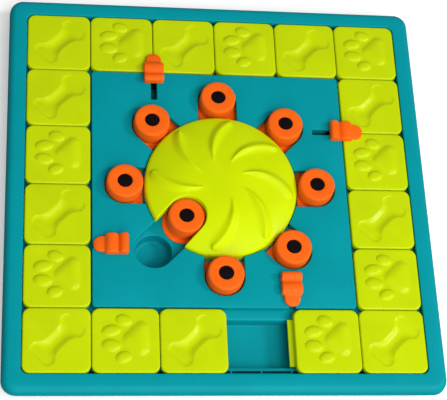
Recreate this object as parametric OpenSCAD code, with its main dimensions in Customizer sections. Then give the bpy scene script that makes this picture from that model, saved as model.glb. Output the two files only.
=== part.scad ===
// Sliding-tile treat puzzle for dogs.
// A square tray carries a ring of square tiles that slide round a track with
// one free cell. The raised deck in the middle has eight treat wells, each
// covered by a slider, a notched wheel that lets one slider in at a time, and
// four locks that hold the tiles. X is to the right, Y to the back, Z up, and
// the origin is on the ground under the middle of the tray.

/* [Board] */
// Spacing of the tile cells
pitch = 58.6; // [54:0.2:62]
// Height of the deck, the rim and the tile tops above the ground
top_z = 31; // [30:0.5:36]
// Half width of the rim at its top edge
rim_half = 189.5; // [188:0.5:192]
// Radius of the outer corners at the top
corner_r = 15; // [12:1:18]
// How far the skirt of the rim flares outwards
skirt_flare = 3.3; // [2:0.1:4]
// Height of that skirt
skirt_h = 10; // [9:0.5:11]
// Half width of the base where it meets the ground plate
base_half = 186; // [184:0.5:187]

/* [Track] */
// Width of the treat trough under the tiles
trough_w = 43.5; // [42:0.5:45]
// Depth of the trough floor below the deck
trough_depth = 22; // [20:0.5:22]
// Depth of the ledges that carry the tiles
ledge_drop = 9; // [9:0.5:10]
// Width of the drain slot beside the rim
drain_w = 1.8; // [1.2:0.2:2.2]

/* [Tiles] */
// Width of a tile cap
cap_w = 57.7; // [53:0.1:57.8]
// Corner radius of a tile cap
cap_r = 5.5; // [4:0.5:7]
// Rounding of its top edge
cap_edge = 2.2; // [1:0.2:3]
// Width of the tongues on its left and back sides
tongue_w = 42.7; // [36:0.5:43]
// Reach of a tongue past the cap
tongue_out = 4.7; // [3:0.1:4.8]
// Height of the raised paw pads
paw_up = 0.4; // [0.2:0.1:0.6]
// Depth of the sunken bone
bone_down = 1.2; // [0.6:0.1:1.6]

/* [Wheel] */
// Radius of the wheel
wheel_r = 69.5; // [69:0.5:70]
// Height of the crown above the deck
crown_h = 15.5; // [13:0.5:17]
// Radius of the rounded rim
wheel_edge = 4; // [3:0.5:5]
// Height of the swirl ridges above the dome
swirl_h = 1.8; // [0.6:0.1:2.2]

/* [Sliders] */
// Distance of a knob from the middle over its well
well_ring_r = 87.3; // [87:0.1:88]
// Distance of the knob that stands in the notch
notch_r = 46.8; // [46:0.1:48]
// Radius of a knob at its foot
knob_r = 16.8; // [16:0.1:17]
// Height of a knob above the deck
knob_h = 10; // [8:0.5:12]
// Radius of the black plug in a knob
plug_r = 6.8; // [6:0.1:7]
// Half width of a slider channel
channel_half = 18; // [17.8:0.1:18.4]
// Radius of a treat well
well_r = 16.5; // [15:0.5:17]

/* [Locks] */
// Travel of a lock
lock_travel = 20.5; // [18:0.5:21]
// Length of a lock
lock_len = 31; // [30:0.5:32]
// Width of a lock
lock_w = 18.5; // [17:0.5:20]
// Width of its tip
lock_tip_w = 13.5; // [12:0.5:14]
// Height of its rear hump above the deck
lock_h = 8; // [6:0.5:9]

/* [Hidden] */
teal = "#0096a0";
teal_dark = "#00838e";
lime = "#c8dc14";
orange = "#ff7020";
black = "#18181a";
steel = "#b8bcc2";
$fn = 64;

// Clearances
gap = 0.3;      // between bodies that move past each other
eps = 0.01;     // overshoot of a cut past a face

// Levels, from the ground up
foot_t = 2;                        // thickness of a foot pad
floor_z = 1.5;                     // underside of the ground plate
floor_top = 4;                     // its upper side
trough_z = top_z - trough_depth;   // trough and well floors
wall = 2;                          // wall of the troughs and wells
split_z = top_z - skirt_h;         // joint between rim and base
ledge_z = top_z - ledge_drop;      // top of the tile ledges
ledge_t = 2.5;                     // thickness of the ledges
pan_z = ledge_z + 0.5;             // channel floors and the pan under the wheel
skin_t = 4.7;                      // thickness of the deck and rim skin
skin_z = top_z - skin_t;           // underside of that skin

// Plan of the board: half sizes of nested squares
half_n = 3;                              // cells from the middle to the rim
lane = (half_n - 0.5) * pitch;           // middle line of the track
rim_in = half_n * pitch + 1;             // inner edge of the rim
rim_in_r = 4;
deck_half = (half_n - 1) * pitch - 2.3;  // edge of the deck
deck_r = 3;
deck_core = deck_half - 3.1;             // core of the deck under its skin
trough_out = lane + trough_w / 2;
trough_in = lane - trough_w / 2;
ledge_out = 184.5;                       // outer edge of the ledges
rim_wall_in = 181.5;                     // inner face of the wall under the rim
shell_t = 2.2;

// Drain slots: two long ones and a short one per cell
drain_at = trough_out + 2.7;
drain_rib = 1.5;
drain_long = 0.45 * pitch - drain_rib;
drain_short = 0.1 * pitch - drain_rib;

// Screws
screw_r = 1.4;
screw_hole_r = 1.7;
screw_head_r = 3;
boss_r = 4;
corner_screw = 179;
side_screw = 181.4;
base_screw_at = [for (a = [0 : 90 : 270]) each [
    [corner_screw * (cos(a) - sin(a)), corner_screw * (sin(a) + cos(a))],
    [side_screw * cos(a), side_screw * sin(a)]]];
deck_screw_at = [for (x = [-1, 1], y = [-1, 1]) [100 * x, 100 * y]];
foot_at = [for (x = [-1, 1], y = [-1, 1]) [165 * x, 165 * y]];
foot_r = 9;

// Wheel: a dome whose rounded rim is tangent to it
crown_z = top_z + crown_h;
dome_rise = 11;
dome_base = wheel_r - wheel_edge;
dome_r = (pow(dome_base, 2) + pow(dome_rise, 2)) / (2 * dome_rise);
dome_cz = crown_z - dome_r;
edge_cz = dome_cz + sqrt(pow(dome_r - wheel_edge, 2) - pow(dome_base, 2));
wheel_z = pan_z + gap;
wheel_hole = wheel_r + 0.6;
dome_t = 3;
hub_r = 8;
hub_z = 14.4;
notch_half = knob_r + 0.7;
notch_at = 225;
swirls = 7;
swirl_in = [18.5, 68];     // inner end of the first ridge: radius, angle
swirl_out = [65, 35];      // its outer end
swirl_bow = 12.5;          // bow of its outer side
swirl_belly = 3;           // bow of its inner side

// Slider foot: a round outer end and a square inner end that meets the wheel
foot_in = well_ring_r - wheel_r - 1.2;   // from the knob to the inner end
flange_r = 19.3;
flange_off = 1.5;
flange_top = skin_z - 0.4;
body_half = channel_half - 1.1;
body_top = skin_z + 2.2;
pocket_half = flange_r + 0.6;
pocket_top = body_top + 0.4;
knob_top = top_z + knob_h;
knob_edge = 2.2;
plug_drop = 1;
plug_t = 2;
slider_play = 0.9;

// Locks, in a frame whose X points out from the middle
lock_at = pitch;                        // sideways place of every lock
lock_rear = 84.4;                       // rear end when drawn back
lock_gap = 0.6;                         // clearance over the deck and the tiles
lock_z = top_z + lock_gap;
lock_tip_len = 10.5;
lock_mid_len = 11.5;
slot_w = 5.5;
slot_in = 88.3;
rib_w = 4.8;
stem_len = 6;
rib_len = 9.3;
tooth_len = 2;
clip_w = 12;
clip_len = 11;
clip_t = 2.9;
lock_out = [true, true, false, false];  // right, back, left, front

// Tiles, clockwise from the back left corner; the free cell is left out
ring = 20;
free_cell = 12;
tile_z = ledge_z + gap;
tongue_top = skin_z - gap - 1.2;
recess = tongue_out + 1.1;
recess_top = tongue_top + 0.4;
guide_w = trough_w - 1.2;
guide_z = ledge_z - 2.2;
tiles = ring - 1;

// ---------------------------------------------------------------- helpers

// Square with rounded corners, given by its half width
module round_square(half, r) {
    square([2 * half, 2 * (half - r)], center = true);
    square([2 * (half - r), 2 * half], center = true);
    for (x = [-1, 1], y = [-1, 1])
        translate([x * (half - r), y * (half - r)]) circle(r);
}

// Flat plate of that shape between two levels
module plate(half, r, z0, z1) {
    translate([0, 0, z0]) linear_extrude(z1 - z0) round_square(half, r);
}

// Square frame between two levels
module frame(out, out_r, in, in_r, z0, z1) {
    translate([0, 0, z0]) linear_extrude(z1 - z0) difference() {
        round_square(out, out_r);
        round_square(in, in_r);
    }
}

// Sweeps a profile round a rounded square; X is measured out from its line
module edge_sweep(half, r) {
    for (a = [0 : 90 : 270]) rotate(a) {
        translate([half - r, half - r, 0]) rotate_extrude(angle = 90)
            translate([r, 0]) children();
        translate([half, half - r, 0]) rotate([90, 0, 0])
            linear_extrude(2 * (half - r)) children();
    }
}

// Upright cylinder between two levels
module post(r, z0, z1) {
    translate([0, 0, z0]) cylinder(r = r, h = z1 - z0);
}

// Tombstone outline: square end at -back, round end of radius r about off
module tombstone(back, r, off, corner) {
    intersection() {
        translate([off, 0]) circle(r);
        translate([off - corner, -r]) square([r + corner, 2 * r]);
    }
    translate([corner - back, -r]) square([back - corner + off, 2 * r]);
    translate([-back, corner - r]) square([corner + eps, 2 * (r - corner)]);
    for (y = [-1, 1]) translate([corner - back, y * (r - corner)]) circle(corner);
}

// Slot from the middle outwards with a round end
module channel_2d(half, from, to) {
    translate([from, -half]) square([to - from, 2 * half]);
    translate([to, 0]) circle(half);
}

// ------------------------------------------------------------ tray and base

module base_pan() color(teal_dark) {
    rise = split_z - floor_z;
    lean = rim_half + skirt_flare - 0.5 - base_half;
    wall_dx = base_half - rim_half;
    difference() {
        union() {
            plate(rim_half - 4.5, corner_r - 4.5, floor_z, floor_top);
            edge_sweep(rim_half, corner_r) polygon([
                [-4.5, floor_z], [wall_dx, floor_z],
                [wall_dx + lean, split_z], [wall_dx + lean - shell_t, split_z],
                [-4.5, floor_z + rise * 0.19]]);
            for (p = base_screw_at) translate(p)
                post(boss_r, floor_top - eps, ledge_z - ledge_t);
            for (p = deck_screw_at) translate(p)
                post(boss_r, floor_top - eps, pan_z - ledge_t);
            frame(lane + 1, corner_r, lane - 1, corner_r - 2,
                floor_top - eps, trough_z - wall);
            translate([0, 0, floor_top - eps])
                linear_extrude(trough_z - wall - floor_top + eps) difference() {
                    circle(well_ring_r + 1);
                    circle(well_ring_r - 1);
                }
        }
        for (p = concat(base_screw_at, deck_screw_at)) translate(p) {
            post(screw_hole_r, floor_z - 1, ledge_z);
            post(screw_head_r + 0.3, floor_z - 1, floor_top);
        }
        for (p = foot_at) translate(p) post(foot_r + 0.2, floor_z - 1, foot_t);
    }
}

module foot_pads() color(black) {
    for (p = foot_at) translate(p) post(foot_r, 0, foot_t);
}

// Pan-head screw standing on its head
module screw(r, head_r, z_head, z_seat, z_end) {
    post(head_r, z_head, z_seat);
    post(r, z_seat - eps, z_end);
}

module base_screws() color(steel) {
    for (p = base_screw_at) translate(p)
        screw(screw_r, screw_head_r, floor_z + 0.3, floor_top, top_z - 3);
}

module deck_screws() color(steel) {
    for (p = deck_screw_at) translate(p)
        screw(screw_r, screw_head_r, floor_z + 0.3, floor_top, skin_z + 2);
}

// Trough with its ledges, and the drain slots beside the rim
module track_tray() color(teal) difference() {
    union() {
        frame(ledge_out, corner_r - 5, trough_out, 3, ledge_z - ledge_t, ledge_z);
        frame(trough_in, 3, deck_core, deck_r, ledge_z - ledge_t, ledge_z);
        frame(trough_out + wall, 5, trough_out, 3, trough_z - wall, ledge_z);
        frame(trough_in, 3, trough_in - wall, 1.5, trough_z - wall, ledge_z);
        frame(trough_out + wall, 5, trough_in - wall, 1.5, trough_z - wall, trough_z);
    }
    for (p = base_screw_at) translate(p)
        post(screw_hole_r, ledge_z - ledge_t - 1, ledge_z + 1);
    for (a = [0 : 90 : 270], i = [-2.5 : 2.5]) rotate(a)
        translate([drain_at, i * pitch, ledge_z - ledge_t - eps]) {
            for (s = [-1, 1])
                translate([0, s * (drain_long + drain_rib) / 2 - drain_long / 2, 0])
                    cube([drain_w, drain_long, ledge_t + 1]);
            if (i < 2.5) translate([0, (pitch - drain_short) / 2, 0])
                cube([drain_w, drain_short, ledge_t + 1]);
        }
}

// Floor of the channels and wheel pan, with the eight wells hanging from it
module well_tray() color(teal) difference() {
    union() {
        plate(deck_core, deck_r, pan_z - ledge_t, pan_z);
        for (a = [0 : 45 : 315]) rotate(a) translate([well_ring_r, 0])
            post(well_r + wall, trough_z - wall, pan_z - eps);
        post(hub_r + 3.5, hub_z + 0.6, pan_z - eps);
    }
    for (a = [0 : 45 : 315]) rotate(a) translate([well_ring_r, 0])
        post(well_r, trough_z, pan_z + 1);
    post(hub_r + gap, hub_z, pan_z + 1);
    for (p = deck_screw_at) translate(p) post(screw_hole_r, pan_z - 3, pan_z + 1);
}

// Rim of the board with its flared skirt
module top_frame() color(teal) difference() {
    union() {
        frame(rim_half - 3, corner_r - 3, rim_in, rim_in_r, skin_z, top_z);
        edge_sweep(rim_half, corner_r) {
            polygon([[-3, skin_z], [-3, top_z - 3], [0, top_z - 3],
                [skirt_flare, split_z], [skirt_flare - 2.4, split_z],
                [-1.6, skin_z]]);
            intersection() {
                translate([-3, top_z - 3]) circle(3);
                translate([-3, top_z - 3]) square(3);
            }
        }
        frame(ledge_out, corner_r - 5, rim_wall_in, rim_in_r, ledge_z, skin_z + eps);
        for (p = base_screw_at) translate(p) post(boss_r, ledge_z, skin_z + eps);
    }
    for (p = base_screw_at) translate(p) post(screw_r, ledge_z - 1, top_z - 2.5);
}

// Deck in the middle: skin with channels, wheel opening and lock slots
module centre_deck() color(teal) {
    difference() {
        plate(deck_half, deck_r, skin_z, top_z);
        for (p = deck_screw_at) translate(p) post(screw_r, skin_z - 1, skin_z + 2.5);
        translate([0, 0, skin_z - 1]) linear_extrude(skin_t + 2) {
            circle(wheel_hole);
            for (a = [0 : 45 : 315]) rotate(a)
                channel_2d(channel_half, wheel_hole - 10, well_ring_r);
            for (a = [0 : 90 : 270]) rotate(a)
                translate([slot_in, lock_at - slot_w / 2])
                    square([deck_half - slot_in + 1, slot_w]);
        }
    }
    difference() {
        plate(deck_core, deck_r, pan_z, skin_z);
        translate([0, 0, pan_z - 1]) linear_extrude(skin_z - pan_z + 2) {
            circle(wheel_hole);
            for (a = [0 : 45 : 315]) rotate(a)
                channel_2d(pocket_half, wheel_hole - 10, well_ring_r + flange_off);
            for (a = [0 : 90 : 270]) rotate(a)
                translate([slot_in - 6.4, lock_at - clip_w / 2 - 0.5])
                    square([deck_core - slot_in + 8, clip_w + 1]);
        }
        for (p = deck_screw_at) translate(p) post(screw_r, pan_z - 1, skin_z + 1);
    }
}

// ------------------------------------------------------------------- wheel

// Half section of the dome, taken in by t
module dome_half(t) {
    intersection() {
        translate([0, dome_cz]) circle(dome_r - t, $fn = 144);
        translate([0, wheel_z]) square([dome_base + wheel_edge * 0.34, 40]);
    }
    if (t == 0) {
        translate([dome_base, edge_cz]) circle(wheel_edge, $fn = 40);
        translate([0, wheel_z]) square([wheel_r, edge_cz - wheel_z]);
    }
}

// Crescent outline between two arcs through the same two ends
module crescent(p, q, bow, belly) {
    d = q - p;
    len = norm(d);
    translate(p) rotate(atan2(d[1], d[0])) difference() {
        arc_cap(len, bow);
        arc_cap(len, belly);
    }
}

// Segment of a circle over a chord on the X axis
module arc_cap(len, bow) {
    r = (len * len / 4 + bow * bow) / (2 * bow);
    intersection() {
        translate([len / 2, bow - r]) circle(r, $fn = 72);
        translate([-1, 0]) square([len + 2, bow + 1]);
    }
}

module notch_outline(half) {
    translate([notch_r, 0]) circle(half);
    translate([notch_r, -half]) square([wheel_r + 5 - notch_r, 2 * half]);
}

module wheel() color(lime) {
    swirl_p = swirl_in[0] * [cos(swirl_in[1]), sin(swirl_in[1])];
    swirl_q = swirl_out[0] * [cos(swirl_out[1]), sin(swirl_out[1])];
    pocket_in = notch_r - foot_in - 0.8;
    difference() {
        union() {
            rotate_extrude($fn = 112) dome_half(0);
            post(hub_r, hub_z, wheel_z + eps);
            intersection() {
                translate([0, 0, dome_cz]) sphere(dome_r + swirl_h, $fn = 120);
                for (i = [0 : swirls - 1]) rotate(45 * (i - swirls + 4))
                    translate([0, 0, top_z]) linear_extrude(crown_h + 5)
                        crescent(swirl_p, swirl_q, swirl_bow, swirl_belly);
            }
        }
        difference() {
            rotate_extrude($fn = 112) difference() {
                intersection() {
                    dome_half(dome_t);
                    translate([0, wheel_z - eps]) square([dome_base + 0.5, 40]);
                }
                square([hub_r + 4, 60]);
            }
            rotate(notch_at) translate([pocket_in - 2.2, -pocket_half - 2.2, 0])
                cube([wheel_r, 2 * pocket_half + 4.4, 60]);
        }
        rotate(notch_at) {
            translate([0, 0, wheel_z - 1]) linear_extrude(60) notch_outline(notch_half);
            translate([pocket_in, -pocket_half, wheel_z - 1])
                cube([wheel_r, 2 * pocket_half, pocket_top - wheel_z + 1]);
        }
        post(2.5, hub_z - 1, 26);
    }
}

module wheel_washer() color(steel) difference() {
    post(12.5, hub_z - 1.8, hub_z);
    post(2.6, hub_z - 2, hub_z + 1);
}

module wheel_screw() color(steel) screw(2.5, 5, hub_z - 4.2, hub_z - 1.8, 25.5);

// ----------------------------------------------------------------- sliders

// Slider k stands at angle 45 (k - 1); number 6 is in the notch of the wheel
function slider_r(k) = 45 * (k - 1) == notch_at ? notch_r : well_ring_r;

module at_knob(k) rotate(45 * (k - 1)) translate([slider_r(k), 0, 0]) children();

module slider(k) color(orange) at_knob(k) difference() {
    union() {
        translate([0, 0, pan_z + gap]) linear_extrude(flange_top - pan_z - gap)
            tombstone(foot_in, flange_r, flange_off, 3);
        translate([0, 0, flange_top - eps]) linear_extrude(body_top - flange_top + eps)
            tombstone(foot_in, body_half, 0, 3);
        rotate_extrude() {
            polygon([[0, body_top - eps], [knob_r, body_top - eps],
                [knob_r - 0.5, knob_top - knob_edge],
                [knob_r - 0.5 - knob_edge, knob_top - knob_edge],
                [knob_r - 0.5 - knob_edge, knob_top], [0, knob_top]]);
            translate([knob_r - 0.5 - knob_edge, knob_top - knob_edge]) intersection() {
                circle(knob_edge);
                square(knob_edge);
            }
        }
    }
    post(plug_r, knob_top - plug_drop - plug_t, knob_top + 1);
}

module knob_plug(k) color(black) at_knob(k)
    post(plug_r, knob_top - plug_drop - plug_t, knob_top - plug_drop);

// ------------------------------------------------------------------- locks

// Places a lock part; side 0 is the right-hand side, and the rest go round
module at_lock(side) rotate(90 * side)
    translate([lock_rear + (lock_out[side] ? lock_travel : 0), lock_at, 0]) children();

// Side view of a lock: two humps behind a low tip
module lock_side() {
    mid = lock_len - lock_tip_len - lock_mid_len;
    h = lock_h - lock_gap;
    polygon([[0, 0], [lock_len, 0], [lock_len, 2.2], [lock_len - 1.5, 3],
        [lock_len - lock_tip_len + 1, 3.6],
        [lock_len - lock_tip_len - 1, h - 2], [lock_len - lock_tip_len - 3.5, h - 0.6],
        [mid + 4.5, h - 1.4], [mid + 1, h - 3],
        [mid - 1.5, h - 1.6], [mid - 4, h], [1.5, h], [0, h - 1.5]]);
}

// Plan of a lock: a block with a narrower round-nosed tip
module lock_plan() {
    nose = 5;
    translate([0, -lock_w / 2]) square([lock_len - lock_tip_len, lock_w]);
    translate([lock_len - lock_tip_len - 1, -lock_tip_w / 2])
        square([lock_tip_len + 1 - nose, lock_tip_w]);
    translate([lock_len - nose - 1, nose - lock_tip_w / 2])
        square([nose + 1, lock_tip_w - 2 * nose]);
    for (y = [-1, 1]) translate([lock_len - nose, y * (lock_tip_w / 2 - nose)])
        circle(nose);
}

module lock(side) color(orange) at_lock(side) {
    rib_at = slot_in + gap - lock_rear;
    intersection() {
        translate([0, 0, lock_z]) linear_extrude(lock_h) lock_plan();
        translate([0, lock_w, lock_z]) rotate([90, 0, 0])
            linear_extrude(2 * lock_w) lock_side();
    }
    translate([rib_at, -rib_w / 2, skin_z - gap])
        cube([stem_len, rib_w, skin_t + gap + lock_gap + eps]);
    translate([rib_at, 0, top_z - 4]) linear_extrude(4 + lock_gap + eps) polygon([
        [0, -rib_w / 2], [rib_len - 1, -rib_w / 2], [rib_len, -1.6],
        [rib_len + tooth_len, -0.4], [rib_len + tooth_len, 0.4],
        [rib_len, 1.6], [rib_len - 1, rib_w / 2], [0, rib_w / 2]]);
}

module lock_clip(side) color(black) at_lock(side)
    translate([slot_in - lock_rear - 5.7, -clip_w / 2, skin_z - gap - clip_t])
        cube([clip_len, clip_w, clip_t]);

// ------------------------------------------------------------------- tiles

// Cell of ring place i, as column and row from the back left corner
function cell(i) = i <= 5 ? [i, 0] : i <= 10 ? [5, i - 5]
    : i <= 15 ? [15 - i, 5] : [0, 20 - i];
function place(k) = k <= free_cell ? k - 1 : k;
function is_bone(k) = k % 2 == 1;

// Bone lying along the diagonal of the tile
module bone_2d() rotate(45) {
    square([35, 12.4], center = true);
    for (x = [-1, 1]) translate([x * 17.6, 0]) {
        for (y = [-1, 1]) translate([0, y * 6.4]) circle(5.8);
        square([11.6, 12.8], center = true);
    }
}

// Paw print: four toes on the left and a three-lobed pad on the right
module paw_2d() {
    for (t = [[-1.6, 17.8, 5.1, 2.2, -18], [-12.3, 8.4, 5.4, 3, 8],
              [-12.3, -4.8, 5.6, 2.8, -8], [-1.7, -15.4, 5.2, 2, 14]])
        translate([t[0], t[1]]) rotate(t[4]) {
            for (x = [-1, 1]) translate([x * t[3], 0]) circle(t[2]);
            square([2 * t[3], 2 * t[2]], center = true);
        }
    for (p = [[3.4, 1.2], [13.6, 11.2], [13.8, -7.4]]) translate(p) circle(6.1);
    polygon([[-0.87, 5.56], [9.33, 15.56], [19.7, 11.2], [19.9, -7.4], [9.91, -12.1],
        [-0.49, -3.5]]);
}

module tile(k) color(lime) {
    c = cell(place(k));
    h = cap_w / 2;
    translate([(c[0] - 2.5) * pitch, (2.5 - c[1]) * pitch, 0]) difference() {
        union() {
            plate(h, cap_r, recess_top, top_z - cap_edge);
            plate(h - cap_edge, cap_r - cap_edge, recess_top, top_z);
            edge_sweep(h, cap_r) translate([-cap_edge, top_z - cap_edge])
                intersection() {
                    circle(cap_edge);
                    square(cap_edge);
                }
            intersection() {
                plate(h, cap_r, tile_z, recess_top + eps);
                translate([-h, recess - h, 0])
                    cube([cap_w - recess, cap_w - recess, top_z]);
            }
            for (a = [90, 180]) rotate(a)
                translate([h - 4, -tongue_w / 2, tile_z])
                    cube([4 + tongue_out, tongue_w, tongue_top - tile_z]);
            plate(guide_w / 2, 3, guide_z, tile_z + eps);
            if (!is_bone(k)) translate([0, 0, top_z - eps])
                linear_extrude(paw_up + eps) paw_2d();
        }
        if (is_bone(k)) translate([0.8, 0.3, top_z - bone_down])
            linear_extrude(bone_down + 1) bone_2d();
    }
}

// ------------------------------------------------------------------- nodes

sides = ["right", "back", "left", "front"];

base_pan();
foot_pads();
base_screws();
deck_screws();
track_tray();
well_tray();
top_frame();
centre_deck();
wheel();
wheel_washer();
wheel_screw();
for (k = [1 : 8]) {
    slider(k);
    knob_plug(k);
}
for (s = [0 : 3]) {
    lock(s);
    lock_clip(s);
}
for (k = [1 : tiles])
    tile(k);
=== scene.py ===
import math

import bmesh
import bpy
import numpy as np
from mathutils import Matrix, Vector
from mathutils.geometry import delaunay_2d_cdt
from mathutils.kdtree import KDTree


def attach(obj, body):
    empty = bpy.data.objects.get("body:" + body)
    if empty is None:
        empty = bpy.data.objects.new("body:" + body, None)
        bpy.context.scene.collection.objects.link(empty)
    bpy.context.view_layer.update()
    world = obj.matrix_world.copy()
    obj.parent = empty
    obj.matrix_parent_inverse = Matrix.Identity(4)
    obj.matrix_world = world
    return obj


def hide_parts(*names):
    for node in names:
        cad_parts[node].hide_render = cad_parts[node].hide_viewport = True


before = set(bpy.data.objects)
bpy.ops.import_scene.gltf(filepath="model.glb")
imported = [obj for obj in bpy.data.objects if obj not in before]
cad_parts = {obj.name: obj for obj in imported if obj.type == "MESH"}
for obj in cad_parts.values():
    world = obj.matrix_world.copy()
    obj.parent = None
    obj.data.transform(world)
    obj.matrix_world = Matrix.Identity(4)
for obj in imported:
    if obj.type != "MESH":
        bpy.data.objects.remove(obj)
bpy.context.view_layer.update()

bl_info = {
    "name": "Dog Puzzle Board",
    "version": (1, 0, 0),
    "blender": (4, 5, 0),
    "location": "View3D > Sidebar > Dog Puzzle",
    "description": "Builds the moulded pieces of a sliding-tile treat puzzle",
    "category": "Add Mesh",
}

MM = 0.001
CREASE = math.radians(38)   # faces that meet at a greater angle keep a sharp edge
SIDES = ("right", "back", "left", "front")
TEAL, LIME, ORANGE, BLACK = "teal_plastic", "lime_plastic", "orange_plastic", "black_plastic"

# Sizes in mm that more than one piece needs. Depths are counted down from the deck.
SKIN = 4.7           # underside of the deck's skin
CHANNEL = 8.5        # floor of the channels
LEDGE = 9            # ledges that carry the tiles
FLOOR = 22           # floor of the trough and of the wells
CORE_HALF = 111.8    # half width of the deck's walls and of the well tray
RUNNING_GAP = 0.6    # gap round the wheel
WELL_RING = 87.3     # distance of a well from the middle
NOTCH_RING = 46.8    # distance of the notch from the middle
NOTCH_TURN = 225     # direction of the notch in degrees
LOCK_TRAVEL = 20.5


# ---- settings

def size_mm(name, description, default, low, high):
    """Size in millimetres, with its limits."""
    return bpy.props.FloatProperty(name=name, description=description + " in mm",
                                   default=default, min=low, max=high)


def linear(code):
    """Linear colour of an sRGB hex value."""
    out = []
    for i in (1, 3, 5):
        v = int(code[i:i + 2], 16) / 255
        out.append(v / 12.92 if v <= 0.04045 else ((v + 0.055) / 1.055) ** 2.4)
    return out


def colour_hex(name, description, code):
    """Colour of a moulding, from its sRGB hex value."""
    return bpy.props.FloatVectorProperty(name=name, description=description, default=linear(code),
                                         subtype="COLOR", size=3, min=0, max=1)


class PUZZLE_PG_board(bpy.types.PropertyGroup):
    """Sizes of the tray, the deck and the tiles, in millimetres."""
    pitch: size_mm("Tile spacing", "Distance between neighbouring cells", 58.6, 40, 80)
    top: size_mm("Deck height", "Height of the deck above the ground", 31.0, 20, 50)
    rim_half: size_mm("Rim half width", "Half width of the rim at the foot of its skirt", 192.7, 150, 220)
    rim_edge: size_mm("Rim rounding", "Radius of the rim's outer edge", 6.5, 3.0, 8.0)
    deck_edge: size_mm("Deck rounding", "Radius of the edges of the deck", 0.9, 0.2, 2.0)
    cap: size_mm("Tile width", "Width of a tile's cap", 57.95, 40, 80)
    cap_edge: size_mm("Tile rounding", "Radius of a tile's top edge", 1.5, 0.5, 3.0)
    bone_down: size_mm("Bone depth", "Depth of the sunken bone", 2.45, 0.5, 3.2)
    paw_up: size_mm("Paw height", "Height of the raised paw pads", 2.1, 0.3, 3.0)


class PUZZLE_PG_play(bpy.types.PropertyGroup):
    """Sizes of the wheel, the sliders and the locks, in millimetres."""
    wheel_r: size_mm("Wheel radius", "Radius of the wheel", 69.5, 60, 75)
    crown: size_mm("Crown", "Height of the wheel's crown above the deck", 15.5, 8, 18)
    swirl_up: size_mm("Swirl height", "Height of the wheel's ridges", 3.0, 0.3, 3.4)
    knob_r: size_mm("Knob radius", "Radius of a knob at its foot", 16.8, 10, 17)
    knob_h: size_mm("Knob height", "Height of a knob above the deck", 10.0, 5, 14)
    lock_h: size_mm("Lock height", "Height of a lock's rear hump above the deck", 8.0, 4, 9)


class PUZZLE_PG_colours(bpy.types.PropertyGroup):
    """Colours of the mouldings."""
    teal: colour_hex("Teal", "Tray and deck", "#0097A2")
    lime: colour_hex("Lime", "Tiles and wheel", "#C6DC02")
    orange: colour_hex("Orange", "Sliders and locks", "#FF6A14")
    black: colour_hex("Black", "Plugs in the knobs", "#0F080C")


def board():
    return bpy.context.scene.puzzle_board


def play():
    return bpy.context.scene.puzzle_play


# ---- outlines as distance fields
# A field gives the distance to an outline in mm, negative inside it.

def disc(x, y, cx, cy, r):
    return np.hypot(x - cx, y - cy) - r


def round_box(x, y, hx, hy, r):
    dx = np.abs(x) - hx + r
    dy = np.abs(y) - hy + r
    return np.hypot(np.maximum(dx, 0), np.maximum(dy, 0)) + np.minimum(np.maximum(dx, dy), 0) - r


def square(half, r):
    """Field of a square about the middle, with rounded corners."""
    return lambda x, y: round_box(x, y, half, half, r)


def turned(x, y, degrees):
    """The point in axes that are turned by that angle."""
    c, s = math.cos(math.radians(degrees)), math.sin(math.radians(degrees))
    return c * x + s * y, c * y - s * x


def melt(a, b, k):
    """Union of two fields with a fillet of about k between them."""
    h = np.clip(0.5 + 0.5 * (b - a) / k, 0, 1)
    return b + (a - b) * h - k * h * (1 - h)


def tombstone(x, y, back, r, off, corner):
    """Square end at -back with rounded corners, round end of radius r about off."""
    block = round_box(x - (off - back) / 2, y, (off + back) / 2, r, corner)
    filler = np.maximum(np.abs(x - off + corner) - corner, np.abs(y) - r)
    nose = np.maximum(disc(x, y, off, 0, r), off - corner - x)
    return np.minimum(np.minimum(block, filler), nose)


def lock_slot(x, y, side, middle, half_long, half_wide, r):
    """Slot for the lock on one side of the board, level with the joint of two tiles."""
    u, v = turned(x, y, 90 * side)
    return round_box(u - middle, v - board().pitch, half_long, half_wide, r)


def round_over(d, r):
    """Drop of a rounded edge of radius r at a distance d inside the outline."""
    t = np.clip(r - d, 0, r)
    return r - np.sqrt(np.maximum(r * r - t * t, 0))


def ease(t):
    t = np.clip(t, 0, 1)
    return t * t * (3 - 2 * t)


def flat(z):
    return lambda x, y: 0 * x + z


# ---- outlines to triangles

def around(items):
    """Neighbouring pairs round a closed list."""
    items = list(items)
    return zip(items, items[1:] + items[:1])


def settle(field, level, p):
    """Moves points on to a level line of the field."""
    e = 1e-3
    for _ in range(3):
        x, y = p[:, 0], p[:, 1]
        f = field(x, y) - level
        gx = (field(x + e, y) - field(x - e, y)) / (2 * e)
        gy = (field(x, y + e) - field(x, y - e)) / (2 * e)
        g = np.maximum(gx * gx + gy * gy, 0.25)
        step = np.clip(f / g, -0.6, 0.6)
        p = p - np.stack([gx * step, gy * step], 1)
    return p


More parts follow.
